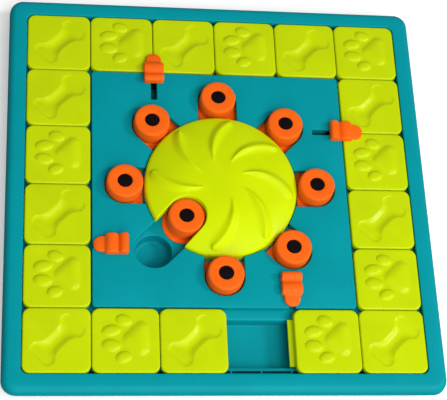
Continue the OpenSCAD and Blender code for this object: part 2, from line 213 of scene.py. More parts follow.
def outline(field, half, level, spacing, grid):
    """Closed lines, as arrays of points, along which the field has that level."""
    off_grid = 0.00137   # keeps the grid's points off straight outlines
    ax = np.linspace(-half, half, int(2 * half / grid) + 3) + off_grid
    gx, gy = np.meshgrid(ax, ax)
    f = field(gx, gy) - level
    s = f > 0
    links = {}

    def crossing(kind, j, i):
        """Where the line crosses a grid edge: kind 0 lies along X, kind 1 along Y."""
        a = (j, i)
        b = (j, i + 1) if kind == 0 else (j + 1, i)
        t = f[a] / (f[a] - f[b])
        return (gx[a] + t * (gx[b] - gx[a]), gy[a] + t * (gy[b] - gy[a]))

    mixed = (s[:-1, :-1] != s[:-1, 1:]) | (s[:-1, :-1] != s[1:, :-1]) | (s[1:, 1:] != s[:-1, 1:])
    for j, i in zip(*np.nonzero(mixed)):
        corners = s[j, i], s[j, i + 1], s[j + 1, i + 1], s[j + 1, i]
        edges = [(0, j, i), (1, j, i + 1), (0, j + 1, i), (1, j, i)]
        hit = [edge for edge, (a, b) in zip(edges, around(corners)) if a != b]
        if len(hit) == 4 and not corners[0]:
            hit = [hit[0], hit[3], hit[1], hit[2]]
        for a, b in (hit[:2], hit[2:]) if len(hit) == 4 else (hit,):
            links.setdefault(a, []).append(b)
            links.setdefault(b, []).append(a)
    loops = []
    while links:
        start, nxt = next(iter(links.items()))
        walk, here, back = [start], nxt[0], start
        while here != start:
            walk.append(here)
            a, b = links[here]
            here, back = (b if a == back else a), here
        for edge in walk:
            del links[edge]
        p = settle(field, level, np.array([crossing(*edge) for edge in walk]))
        q = np.vstack([p, p[:1]])
        run = np.concatenate([[0], np.cumsum(np.hypot(*np.diff(q, axis=0).T))])
        if run[-1] < 2 * spacing:
            continue
        m = max(10, int(round(run[-1] / spacing)))
        at = np.arange(m) * run[-1] / m
        p = np.stack([np.interp(at, run, q[:, 0]), np.interp(at, run, q[:, 1])], 1)
        loops.append(settle(field, level, p))
    return loops


def contours(field, half, levels, spacing, grid):
    """Closed lines at several levels of the field."""
    return [loop for level in levels for loop in outline(field, half, level, spacing, grid)]


def edge_lines(field, loops, r, steps=(0.05, 0.17, 0.36, 0.62, 1.0)):
    """Lines inside the loops, point by point, that carry a rounded edge of radius r."""
    out = []
    for p in loops:
        for s in steps:
            p = settle(field, -r * s, p)
            gap = np.hypot(*(p - np.roll(p, 1, axis=0)).T)
            out.append(p[gap > 0.03])
    return out


def scatter(field, half, step, inset):
    """Points on a grid, well inside the field's outline."""
    n = int(half / step)
    ax = np.arange(-n, n + 1) * step
    x, y = np.meshgrid(ax, ax)
    y = y + (np.arange(2 * n + 1) % 2)[None, :] * step / 2
    keep = field(x, y) < -inset
    return np.stack([x[keep], y[keep]], 1)


def fill(loops, creases=(), loose=(), near=0.6):
    """Triangles between closed loops. Creases and loose points only shape the surface.

    Gives the points, the triangles and, for each point of the loops, its place in the points.
    """
    pts, edges = [], []
    for loop in (*loops, *creases):
        first = len(pts)
        pts.extend(loop)
        edges.extend(around(range(first, len(pts))))
    bound = sum(len(loop) for loop in loops)
    if len(loose):
        tree = KDTree(len(pts))
        for i, p in enumerate(pts):
            tree.insert((p[0], p[1], 0), i)
        tree.balance()
        pts.extend(p for p in loose if tree.find((p[0], p[1], 0))[2] > near)
    # a far square round everything: what lies beside it is outside
    far = 4 * max(max(abs(p[0]), abs(p[1])) for p in pts)
    outside = len(pts)
    pts.extend([(-far, -far), (far, -far), (far, far), (-far, far)])
    v, e, f, from_v, from_e, _ = delaunay_2d_cdt(
        [Vector((float(p[0]), float(p[1]))) for p in pts], edges, [], 0, 1e-6, True)
    v = np.array([p[:] for p in v])
    wall = {frozenset(e[i]) for i, given in enumerate(from_e) if any(k < bound for k in given)}
    shared = {}
    for t, tri in enumerate(f):
        for a, b in around(tri):
            shared.setdefault(frozenset((a, b)), []).append(t)
    # each wall that is crossed on the way in changes outside to inside, or back
    far_v = {i for i, given in enumerate(from_v) if any(k >= outside for k in given)}
    todo = [t for t, tri in enumerate(f) if any(a in far_v for a in tri)]
    side = dict.fromkeys(todo, 0)
    while todo:
        t = todo.pop()
        for a, b in around(f[t]):
            key = frozenset((a, b))
            for u in shared[key]:
                if u not in side:
                    side[u] = side[t] ^ (key in wall)
                    todo.append(u)
    tris = []
    for t, tri in enumerate(f):
        if side[t]:
            a, b, c = (v[i] for i in tri)
            turn = (b[0] - a[0]) * (c[1] - a[1]) - (b[1] - a[1]) * (c[0] - a[0])
            tris.append(tri if turn > 0 else tri[::-1])
    used = sorted({i for t in tris for i in t})
    new = {i: n for n, i in enumerate(used)}
    tris = [tuple(new[i] for i in t) for t in tris]
    which = {k: new[i] for i, given in enumerate(from_v) if i in new for k in given if k < bound}
    return v[used], tris, which


# ---- meshes

def linked(name, data):
    """New object in the scene."""
    obj = bpy.data.objects.new(name, data)
    bpy.context.scene.collection.objects.link(obj)
    return obj


def smooth(mesh):
    """Smooth faces with sharp creases."""
    mesh.polygons.foreach_set("use_smooth", [True] * len(mesh.polygons))
    mesh.set_sharp_from_angle(angle=CREASE)


class Moulding:
    """Collects closed shells in mm and turns them into one mesh."""

    def __init__(self):
        self.verts, self.faces = [], []

    def add(self, verts, faces):
        first = len(self.verts)
        self.verts.extend(verts)
        self.faces.extend(tuple(first + i for i in f) for f in faces)

    def slab(self, loops, top, bottom, creases=(), loose=(), under=(), near=0.6):
        """Solid over the loops, between two height functions."""
        v, up, at = fill(loops, creases, loose, near)
        w, down, below = fill(loops, under)
        n = len(v)
        verts = np.vstack([np.column_stack([p, height(p[:, 0], p[:, 1])])
                           for p, height in ((v, top), (w, bottom))])
        faces = up + [tuple(n + i for i in t[::-1]) for t in down]
        used = {pair for t in up for pair in around(t)}
        first = 0
        for loop in loops:
            for i, j in around(range(first, first + len(loop))):
                a, b = at[i], at[j]
                low_a, low_b = n + below[i], n + below[j]
                if a != b:
                    faces.append((b, a, low_a, low_b) if (a, b) in used else (a, b, low_b, low_a))
            first += len(loop)
        self.add(verts, faces)

    def lathe(self, profile, cx=0.0, cy=0.0, steps=64):
        """Turns (radius, height) points about an upright axis. The list runs up the outside."""
        rings, verts = [], []
        for r, z in profile:
            count = steps if r > 0 else 1
            rings.append(range(len(verts), len(verts) + count))
            verts.extend((cx + r * math.cos(2 * math.pi * k / steps),
                          cy + r * math.sin(2 * math.pi * k / steps), z) for k in range(count))
        hollow = profile[0][0] > 0
        faces = []
        for lo, hi in around(rings) if hollow else zip(rings, rings[1:]):
            for k in range(steps):
                corners = (lo[k % len(lo)], lo[(k + 1) % len(lo)],
                           hi[(k + 1) % len(hi)], hi[k % len(hi)])
                faces.append(tuple(dict.fromkeys(corners)))
        self.add(verts, [f for f in faces if len(f) > 2])

    def prism(self, corners, z0, z1):
        """Upright prism over corners that run counter-clockwise."""
        n = len(corners)
        self.add([(x, y, z) for z in (z0, z1) for x, y in corners],
                 [tuple(range(n))[::-1], tuple(range(n, 2 * n))]
                 + [(i, j, n + j, n + i) for i, j in around(range(n))])

    def block(self, lo, hi):
        """Plain block between two corners."""
        (x0, y0, z0), (x1, y1, z1) = lo, hi
        self.prism([(x0, y0), (x1, y0), (x1, y1), (x0, y1)], z0, z1)

    def piece(self, name, slot):
        """The finished object, in metres."""
        mesh = bpy.data.meshes.new(name)
        mesh.from_pydata((np.array(self.verts) * MM).tolist(), [], self.faces)
        mesh.validate()
        smooth(mesh)
        mesh.materials.append(finish(slot))
        return linked(name, mesh)


def arc(cx, cz, r, a0, a1, steps):
    """Points on an arc of a profile, angles in degrees."""
    points = (turned(r, 0, -(a0 + (a1 - a0) * k / steps)) for k in range(steps + 1))
    return [(cx + x, cz + z) for x, z in points]


# ---- materials

def node(tree, kind, links=(), **values):
    """Adds a node, or takes the one with that name, and gives it its settings and links."""
    n = tree.nodes.get(kind) or tree.nodes.new(kind)
    for key, value in values.items():
        if hasattr(n, key) and key not in n.inputs:
            setattr(n, key, value)
        else:
            n.inputs[key.replace("_", " ")].default_value = value
    for socket, source in dict(links).items():
        tree.links.new(source, n.inputs[socket])
    return n


def new_material(name):
    """Material, its tree and the place on the piece that patterns follow."""
    m = bpy.data.materials.new(name)
    m.use_nodes = True
    return m, m.node_tree, node(m.node_tree, "ShaderNodeTexCoord").outputs["Object"]


def moulded_abs(name, colour, roughness, sheen, relief=0.012, shade=0.06):
    """Injection-moulded ABS: even colour with faint flow marks and a fine spark-eroded grain.

    sheen is how much of the surface's gloss is left: pigment and texture hold most of it back.
    relief is the depth of the tool's texture in mm, shade the strength of the flow marks.
    """
    m, t, place = new_material(name)
    # flow marks, a few centimetres long, that lighten and darken the colour a little
    flow = node(t, "ShaderNodeTexNoise", {"Vector": place}, Scale=1 / 0.035, Detail=3.0)
    tint = node(t, "ShaderNodeMapRange", {"Value": flow.outputs["Fac"]}, From_Min=0.3,
                From_Max=0.7, To_Min=1 - shade, To_Max=1 + shade / 2)
    colour_a, colour_b, colour_out = 6, 7, 2   # colour sockets of a Mix node
    base = node(t, "ShaderNodeMix", {colour_b: tint.outputs["Result"]}, data_type="RGBA",
                blend_type="MULTIPLY", Factor=1.0)
    base.inputs[colour_a].default_value = (*colour, 1)
    # grain of the mould, 0.45 mm wide, and the gloss that changes with it
    fine = node(t, "ShaderNodeTexNoise", {"Vector": place}, Scale=1 / (0.45 * MM), Detail=2.0)
    gloss = node(t, "ShaderNodeMapRange", {"Value": fine.outputs["Fac"]},
                 To_Min=roughness - 0.05, To_Max=roughness + 0.05)
    bump = node(t, "ShaderNodeBump", {"Height": fine.outputs["Fac"]}, Strength=0.5,
                Distance=relief * MM)
    node(t, "Principled BSDF", {"Base Color": base.outputs[colour_out],
                                "Roughness": gloss.outputs["Result"],
                                "Normal": bump.outputs["Normal"]}, IOR=1.53, Specular_IOR_Level=sheen)
    return m


def zinc_steel(name):
    """Zinc-plated steel screw: pale grey metal with fine turning marks."""
    m, t, place = new_material(name)
    marks = node(t, "ShaderNodeTexNoise", {"Vector": place}, Scale=1 / 0.0006, Detail=3.0)
    ramp = node(t, "ShaderNodeMapRange", {"Value": marks.outputs["Fac"]}, To_Min=0.25, To_Max=0.42)
    node(t, "Principled BSDF", {"Roughness": ramp.outputs["Result"]},
         Base_Color=(*linear("#C3C6C8"), 1), Metallic=1.0)
    return m


def moulded_rubber(name):
    """Moulded rubber pad: near black, matte, with a fine stipple."""
    m, t, place = new_material(name)
    stipple = node(t, "ShaderNodeTexNoise", {"Vector": place}, Scale=1 / 0.0008, Detail=2.0)
    tone = node(t, "ShaderNodeValToRGB", {"Fac": stipple.outputs["Fac"]})
    for stop, code in zip(tone.color_ramp.elements, ("#1B1B1D", "#2C2C2E")):
        stop.color = (*linear(code), 1)
    bump = node(t, "ShaderNodeBump", {"Height": stipple.outputs["Fac"]}, Distance=0.05 * MM)
    node(t, "Principled BSDF", {"Base Color": tone.outputs["Color"],
                                "Normal": bump.outputs["Normal"]}, Roughness=0.8)
    return m


def seamless_paper(name):
    """White studio paper: bright and even to the camera, dim to the light it throws back."""
    m = bpy.data.materials.new(name)
    m.use_nodes = True
    t = m.node_tree
    paper = node(t, "Principled BSDF", Base_Color=(0.93, 0.93, 0.93, 1), Roughness=0.9)
    glow = node(t, "ShaderNodeEmission", Color=(1, 1, 1, 1), Strength=0.32)
    both = node(t, "ShaderNodeAddShader", {0: paper.outputs[0], 1: glow.outputs[0]})
    seen = node(t, "ShaderNodeLightPath")
    dim = node(t, "ShaderNodeBsdfDiffuse", Color=(0.25, 0.25, 0.25, 1))
    pick = node(t, "ShaderNodeMixShader",
                {0: seen.outputs["Is Camera Ray"], 1: dim.outputs[0], 2: both.outputs[0]})
    node(t, "Material Output", {"Surface": pick.outputs[0]})
    return m


FINISH = {}


def finish(slot):
    """The material of a slot. All of them are made at the first call."""
    if not FINISH:
        c = bpy.context.scene.puzzle_colours
        light_lime = [min(1, 1.12 * v) for v in c.lime]
        FINISH.update({
            # satin mould texture: broad soft highlights, hardly any mirror
            TEAL: moulded_abs("satin teal ABS", c.teal, 0.46, 0.07, shade=0.05),
            ORANGE: moulded_abs("satin orange ABS", c.orange, 0.42, 0.10),
            # polished mould: tight highlights on every raised pad
            LIME: moulded_abs("gloss lime ABS", c.lime, 0.26, 0.12, relief=0.006),
            # the wheel's own shade, a little lighter and softer than the tiles'
            "wheel_lime": moulded_abs("gloss light lime ABS", light_lime, 0.32, 0.06, relief=0.008),
            # rougher than the rest: hardly any highlight
            BLACK: moulded_abs("satin black ABS", c.black, 0.6, 0.06),
            "rubber": moulded_rubber("stippled rubber"),
            "steel": zinc_steel("zinc-plated steel"),
        })
    return FINISH[slot]


def hand_over(obj, body, cad_node):
    """The piece rides on its body and stands for its CAD node."""
    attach(obj, body)
    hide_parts(cad_node)


# ---- node trees

def new_tree(name, sockets):
    """Geometry tree with named inputs; gives the tree and its inputs."""
    tree = bpy.data.node_groups.new(name, "GeometryNodeTree")
    face = tree.interface
    face.new_socket("Geometry", in_out="INPUT", socket_type="NodeSocketGeometry")
    for label, kind, value in (*sockets, ("Material", "NodeSocketMaterial", None)):
        s = face.new_socket(label, in_out="INPUT", socket_type=kind)
        if value is not None:
            s.default_value = value
    face.new_socket("Geometry", in_out="OUTPUT", socket_type="NodeSocketGeometry")
    return tree, node(tree, "NodeGroupInput").outputs


def close_tree(tree, geometry, material):
    """Realizes the geometry, gives it its material and leads it out of the tree."""
    real = node(tree, "GeometryNodeRealizeInstances", {"Geometry": geometry})
    done = node(tree, "GeometryNodeSetMaterial", {"Geometry": real.outputs[0], "Material": material})
    node(tree, "NodeGroupOutput", {0: done.outputs[0]})
    return tree


def swept_tree():
    """Sweeps a closed section round a square path with rounded corners."""
    tree, given = new_tree("Swept section", [
        ("Width", "NodeSocketFloat", 0.2), ("Corner radius", "NodeSocketFloat", 0.01),
        ("Corner steps", "NodeSocketInt", 12), ("Section", "NodeSocketObject", None)])
    path = node(tree, "GeometryNodeCurvePrimitiveQuadrilateral",
                {"Width": given["Width"], "Height": given["Width"]})
    fillet = node(tree, "GeometryNodeFilletCurve",
                  {"Curve": path.outputs[0], "Radius": given["Corner radius"],
                   "Count": given["Corner steps"]}, mode="POLY")
    upright = node(tree, "GeometryNodeSetCurveNormal", {"Curve": fillet.outputs[0]}, mode="Z_UP")
    section = node(tree, "GeometryNodeObjectInfo", {"Object": given["Section"]})
    swept = node(tree, "GeometryNodeCurveToMesh",
                 {"Curve": upright.outputs[0], "Profile Curve": section.outputs["Geometry"]})
    return close_tree(tree, swept.outputs[0], given["Material"])


def placing_tree():
    """Sets copies of a master piece at the points of a carrier mesh, turned as each point says."""
    tree, given = new_tree("Set at points", [("Master", "NodeSocketObject", None)])
    master = node(tree, "GeometryNodeObjectInfo", {"Object": given["Master"]}, As_Instance=True)
    angle = node(tree, "GeometryNodeInputNamedAttribute", data_type="FLOAT", Name="turn")
    euler = node(tree, "ShaderNodeCombineXYZ", {"Z": angle.outputs["Attribute"]})
    turn = node(tree, "FunctionNodeEulerToRotation", {"Euler": euler.outputs[0]})
    dots = node(tree, "GeometryNodeMeshToPoints", {"Mesh": given["Geometry"]})
    copies = node(tree, "GeometryNodeInstanceOnPoints",
                  {"Points": dots.outputs[0], "Instance": master.outputs["Geometry"],
                   "Rotation": turn.outputs[0]})
    return close_tree(tree, copies.outputs[0], given["Material"])


TREES = {}


def grown(name, tree_name, carrier, inputs):
    """Plain mesh object that a geometry tree makes from a carrier mesh and named inputs."""
    if not TREES:
        TREES.update(swept=swept_tree(), placed=placing_tree())
    tree = TREES[tree_name]
    obj = linked(name, carrier)
    mod = obj.modifiers.new(tree_name, "NODES")
    mod.node_group = tree
    ids = {s.name: s.identifier for s in tree.interface.items_tree if s.in_out == "INPUT"}
    for label, value in inputs.items():
        mod[ids[label]] = value
    view = bpy.context.evaluated_depsgraph_get()
    mesh = bpy.data.meshes.new_from_object(obj.evaluated_get(view), depsgraph=view)
    mesh.name = name
    obj.modifiers.remove(mod)
    obj.data = mesh
    smooth(mesh)
    return obj


def copies(name, master, slot, spots):
    """Copies of a master at spots: distance outwards, distance across, height and direction."""
    mesh = bpy.data.meshes.new("points")
    points = [(*turned(u, v, -degrees), z) for u, v, z, degrees in spots]
    mesh.from_pydata([tuple(c * MM for c in p) for p in points], [], [])
    spin = mesh.attributes.new("turn", "FLOAT", "POINT")
    spin.data.foreach_set("value", [math.radians(s[3]) for s in spots])
    return grown(name, "placed", mesh, {"Master": master, "Material": finish(slot)})


def set_down(master, body, slot, node_name, spot):
    """One copy of a master, as the piece that stands for a CAD node."""
    obj = copies(node_name + "_moulding", master, slot, [spot])
    hand_over(obj, body, node_name)


def clear(objects):
    for obj in objects:
        bpy.data.objects.remove(obj)


def swept(name, half, points):
    """Closed section carried round the tray: distances beyond the half width, and heights."""
    corner, corner_steps = 3, 6
    curve = bpy.data.curves.new("section", "CURVE")
    curve.dimensions = "2D"
    line = curve.splines.new("POLY")
    line.points.add(len(points) - 1)
    for p, (x, z) in zip(line.points, points):
        p.co = (x * MM, -z * MM, 0, 1)
    line.use_cyclic_u = True
    section = linked("section", curve)
    obj = grown(name, "swept", bpy.data.meshes.new("empty"), {
        "Width": 2 * half * MM, "Corner radius": corner * MM, "Corner steps": corner_steps,
        "Section": section, "Material": finish(TEAL)})
    clear([section])
    # the sweep leaves no inside and outside, so its faces are turned outwards
    bm = bmesh.new()
    bm.from_mesh(obj.data)
    bmesh.ops.remove_doubles(bm, verts=bm.verts, dist=1e-6)
    bmesh.ops.recalc_face_normals(bm, faces=bm.faces)
    bm.to_mesh(obj.data)
    bm.free()
    return obj


def joined(name, objects, slot):
    """One object out of several plain meshes."""
    verts, faces = [], []
    for o in objects:
        first = len(verts)
        verts.extend(tuple(v.co) for v in o.data.vertices)
        faces.extend(tuple(first + i for i in p.vertices) for p in o.data.polygons)
    clear(objects)
    mesh = bpy.data.meshes.new(name)
    mesh.from_pydata(verts, [], faces)
    smooth(mesh)
    mesh.materials.append(finish(slot))
    return linked(name, mesh)


# ---- tray

class PUZZLE_OT_rim(bpy.types.Operator):
    """Builds the rim with its rounded edge and flared skirt"""
    bl_idname = "puzzle.rim"
    bl_label = "Rim"

    def execute(self, context):
        b = board()
        top, r, hole_half = b.top, b.rim_edge, 3 * b.pitch + 0.4
        steep, skirt_drop, wall = math.radians(83), 9.4, 1.6
        bend, round_drop = r * math.sin(steep), r * (1 - math.cos(steep))
        flare = (skirt_drop - round_drop) / math.tan(steep)
        wide = bend + flare

        def skirt(d):
            """Drop of the top face at a distance d inside the outer edge."""
            s = np.clip(wide - d, 0, wide)
            return np.where(s < bend, r - np.sqrt(np.maximum(r * r - np.minimum(s, bend) ** 2, 0)),
                            round_drop + (s - bend) * math.tan(steep))
        outer, hole = square(b.rim_half, 13), square(hole_half, 6.5)
        lines = contours(outer, 194, [-d for d in (flare, 0.75, 1.2, 1.8, 2.6, 3.5, 4.5, 5.7, wide)],
                         3, 1.5)
        lines += contours(hole, 180, (0.06, 0.24, 0.5, 0.8), 1.2, 1.2)
        m = Moulding()
        m.slab(outline(outer, 194, 0, 3, 1.5) + outline(hole, 180, 0, 1.2, 1.2),
               lambda x, y: top - skirt(-outer(x, y)) - round_over(hole(x, y), 0.8),
               lambda x, y: top - 9.9 + 5.2 * np.clip((-outer(x, y) - wall) / 0.8, 0, 1), lines,
               under=contours(outer, 194, (-wall, -wall - 0.8), 3, 1.5))
        # tongue that stands in the track's ledge
        tongue = (outline(square(hole_half + 7.9, 9), 190, 0, 6, 1.5)
                  + outline(square(hole_half + 4.9, 7), 190, 0, 6, 1.5))
        m.slab(tongue, flat(top - SKIN), flat(top - LEDGE))
        hand_over(m.piece("rim", TEAL), "tray", "top_frame")
        return {"FINISHED"}


def deck_outline(x, y, half, channel_end, channel_r, slot_middle, slot_half, slot_r):
    """A square less the wheel's opening, the eight channels and the four lock slots."""
    cut = disc(x, y, 0, 0, play().wheel_r + RUNNING_GAP)
    for k in range(8):
        u, v = turned(x, y, 45 * k)
        cut = np.minimum(cut, np.hypot(u - np.clip(u, 60, channel_end), v) - channel_r)
    out = np.maximum(round_box(x, y, half, half, 3), -cut)
    for side in range(4):
        out = np.maximum(out, -lock_slot(x, y, side, slot_middle, 20, slot_half, slot_r))
    return out


def deck_field(x, y):
    """Outline of the deck's skin."""
    return deck_outline(x, y, 116.2, WELL_RING, 18, 108.3, 2.75, 0.6)


def deck_core_field(x, y):
    """Outline of the walls under the skin, wider open for the sliders' feet and the lock clips."""
    return deck_outline(x, y, CORE_HALF, WELL_RING + 1.5, 19.9, 101.9, 6.5, 0.5)


class PUZZLE_OT_deck(bpy.types.Operator):
    """Builds the raised deck with its channels and slots"""
    bl_idname = "puzzle.deck"
    bl_label = "Deck"

    def execute(self, context):
        top, r = board().top, board().deck_edge
        m = Moulding()
        edge = outline(deck_field, 119, 0, 1.5, 0.8)
        m.slab(edge, lambda x, y: top - round_over(-deck_field(x, y), r), flat(top - SKIN),
               edge_lines(deck_field, edge, r))
        m.slab(outline(deck_core_field, 118, 0, 2.5, 1.0), flat(top - SKIN), flat(top - CHANNEL))
        hand_over(m.piece("deck", TEAL), "tray", "centre_deck")
        return {"FINISHED"}


class PUZZLE_OT_track(bpy.types.Operator):
    """Builds the ledges, the treat trough and the drain slots"""
    bl_idname = "puzzle.track"
    bl_label = "Track"

    def execute(self, context):
        b = board()
        ledge, floor = b.top - LEDGE, b.top - FLOOR
        below = floor - 2
        lane, half_trough, reach = 2.5 * b.pitch, 21.75, 184.5
        hi, lo = lane + half_trough, lane - half_trough
        # outer wall of the trough, up to the drain slots
        line = [(0, below), (-2.5, below), (-2.5, floor)] + arc(-2.5, floor + 2.5, 2.5, -90, 0, 5)
        line += arc(0.8, ledge - 0.8, 0.8, 180, 90, 4) + arc(2.2, ledge - 0.5, 0.5, 90, 0, 3)
        line += [(2.7, ledge - 2.5), (2, ledge - 2.5), (2, below)]
        parts = [swept("outer wall", hi, line)]
        # strip beyond the slots
        line = [(4.5, ledge - 2.5)] + arc(5.0, ledge - 0.5, 0.5, 180, 90, 3)
        line += [(reach - hi, ledge), (reach - hi, ledge - 2.5)]
        parts.append(swept("outer ledge", hi, line))
        # inner wall, and the shelf beside the deck with its rounded shoulder
        m = Moulding()
        inner = square(lo, 3)
        shoulder = outline(inner, 130, 0, 3, 1.0)
        m.slab(shoulder + outline(square(CORE_HALF, 3), 130, 0, 6, 1.0),
               lambda x, y: ledge - round_over(-inner(x, y), 2), flat(ledge - 4.5),
               edge_lines(inner, shoulder, 2))
        m.slab(shoulder + outline(inner, 130, -2, 6, 1.0), flat(ledge - 4.5), flat(below))
        # floor with a fillet against the inner wall
        m.slab(shoulder + outline(square(hi - 2.5, 0.5), 180, 0, 6, 1.5),
               lambda x, y: floor + round_over(inner(x, y), 1.2), flat(below),
               contours(inner, 130, (0.05, 0.2, 0.5, 0.8, 1.2), 3, 1.0))
        parts.append(m.piece("floor", TEAL))
        # ribs across the drain slots, three to a tile
        rib = Moulding()
        rib.block((-0.15, -0.75, -2.4), (1.95, 0.75, -0.05))
        master = rib.piece("rib", TEAL)
        spots = [(hi + 2.7, (cell - 2.5 + off) * b.pitch, ledge, 90 * side)
                 for side in range(4) for cell in range(6) for off in (-0.45, 0, 0.45)]
        parts.append(copies("ribs", master, TEAL, spots))
        clear([master])
        hand_over(joined("track", parts, TEAL), "tray", "track_tray")
        return {"FINISHED"}


class PUZZLE_OT_wells(bpy.types.Operator):
    """Builds the channel floors and the treat wells"""
    bl_idname = "puzzle.wells"
    bl_label = "Wells"

    def execute(self, context):
        top = board().top
        z, floor, r, hub_r = top - CHANNEL, top - FLOOR, 16.5, 8.3
        under, trench = z - 2.5, z - 9
        spots = [turned(WELL_RING, 0, -45 * k) for k in range(8)]

        def plate(x, y):
            """Outline of the channels' floor: a square less the wells, the trenches and the hub."""
            out = round_box(x, y, CORE_HALF, CORE_HALF, 3)
            for cx, cy in spots:
                out = np.maximum(out, -disc(x, y, cx, cy, r))
            for side in range(4):
                out = np.maximum(out, -lock_slot(x, y, side, 97, 12, 3.6, 1))
            return np.maximum(out, -disc(x, y, 0, 0, hub_r))
        m = Moulding()
        edge = outline(plate, 116, 0, 1.8, 1.2)
        m.slab(edge, lambda x, y: z - round_over(-plate(x, y), 0.8), flat(under),
               edge_lines(plate, edge, 0.8, (0.06, 0.3, 1.0)))
        for cx, cy in spots:
            m.lathe([(0, floor - 2), (r + 1, floor - 2), (r + 2, floor - 1), (r + 2, under), (r, under)]
                    + arc(r - 2.5, floor + 2.5, 2.5, 0, -90, 5) + [(0, floor)], cx, cy)
        m.lathe([(11.5, z - 7.5), (11.5, under), (hub_r, under), (hub_r, z - 7.5)])
        # trench under each lock slot
        for side in range(4):
            wall = outline(lambda x, y: lock_slot(x, y, side, 97, 13.5, 5.1, 1.5), 120, 0, 1.5, 1.2)
            hollow = outline(lambda x, y: lock_slot(x, y, side, 97, 12, 3.6, 1), 120, 0, 1.5, 1.2)
            m.slab(wall + hollow, flat(under), flat(trench))
            m.slab(wall, flat(trench), flat(trench - 1.5))
        hand_over(m.piece("well_tray_moulding", TEAL), "tray", "well_tray")
        return {"FINISHED"}


# ---- wheel

def dome(x, y):
    """Height of the wheel's dome: flat in the middle, steeper outwards, with a rounded rim."""
    p = play()
    edge, rise, power = 4.0, 11.0, 2.5
    crown = board().top + p.crown
    base = p.wheel_r - edge
    touch = base
    for _ in range(4):
        slope = power * rise / base * (touch / base) ** (power - 1)
        touch = base + edge * slope / math.hypot(slope, 1)
    ez = crown - rise * (touch / base) ** power - edge / math.hypot(slope, 1)
    d = np.hypot(x, y)
    over = crown - rise * (np.minimum(d, touch) / base) ** power
    rim = np.sqrt(np.maximum(edge ** 2 - np.maximum(d - base, 0) ** 2, 0)) + ez
    return np.where(d < touch, over, rim)


# A ridge's crest: distance from the middle and direction at its two ends, and its bow
RIDGE_FROM, RIDGE_TO, RIDGE_BOW = (18.5, 67.0), (64.6, 34.5), 8.0
RIDGE_TURNS = [45 * (k - 3) for k in range(7)]


def ridge_line():
    """Centre and radius of the arc that a ridge's crest follows, and the angle at each end."""
    p, q = (np.array(turned(r, 0, -a)) for r, a in (RIDGE_FROM, RIDGE_TO))
    chord = np.linalg.norm(q - p)
    r = (chord ** 2 / 4 + RIDGE_BOW ** 2) / (2 * RIDGE_BOW)
    u = (q - p) / chord
    c = (p + q) / 2 + np.array([-u[1], u[0]]) * (RIDGE_BOW - r)
    return c, r, math.atan2(p[1] - c[1], p[0] - c[0]), math.atan2(q[1] - c[1], q[0] - c[0])


def ridge(x, y):
    """Place across a ridge in mm, and the width of that side of it.

    A ridge starts in a point, is widest three quarters of the way out and ends in a round tip.
    """
    inner_flank, outer_flank = 8.4, 5.6
    c, r, a0, a1 = ridge_line()
    across = r - np.hypot(x - c[0], y - c[1])
    t = (np.arctan2(y - c[1], x - c[0]) - a0) / (a1 - a0)
    grow = np.sin(0.5 * np.pi * np.clip(t / 0.74, 0, 1))
    tip = np.sqrt(np.clip(1 - np.clip((t - 0.8) / 0.2, 0, 1) ** 2, 0, 1))
    size = np.where((t > 0) & (t < 1), grow * tip, 0)
    return across, np.where(across > 0, inner_flank, outer_flank) * size


def swirl(x, y):
    """Height that the seven ridges add: a straight outer flank and a hollow inner one."""
    out = 0 * x
    for turn in RIDGE_TURNS:
        across, side = ridge(*turned(x, y, turn))
        off = np.sqrt(across ** 2 + 0.36) - 0.6
        fall = np.clip(1 - off / np.maximum(side, 0.01), 0, 1)
        # full height is reached where the flank is that wide
        high = np.clip(side / np.where(across > 0, 5.1, 3.4), 0, 1)
        out = np.maximum(out, high * np.where(across > 0, fall ** 1.9, fall))
    return play().swirl_up * out


def notch(x, y):
    """Outline of the notch that takes a slider's knob."""
    half = 17.5
    u, v = turned(x, y, NOTCH_TURN)
    return np.minimum(disc(u, v, NOTCH_RING, 0, half), np.maximum(np.abs(v) - half, NOTCH_RING - u))


def pocket(x, y, half, start):
    """Room under the wheel for the foot of the slider in the notch."""
    u, v = turned(x, y, NOTCH_TURN)
    return np.maximum(np.abs(v) - half, start - u)


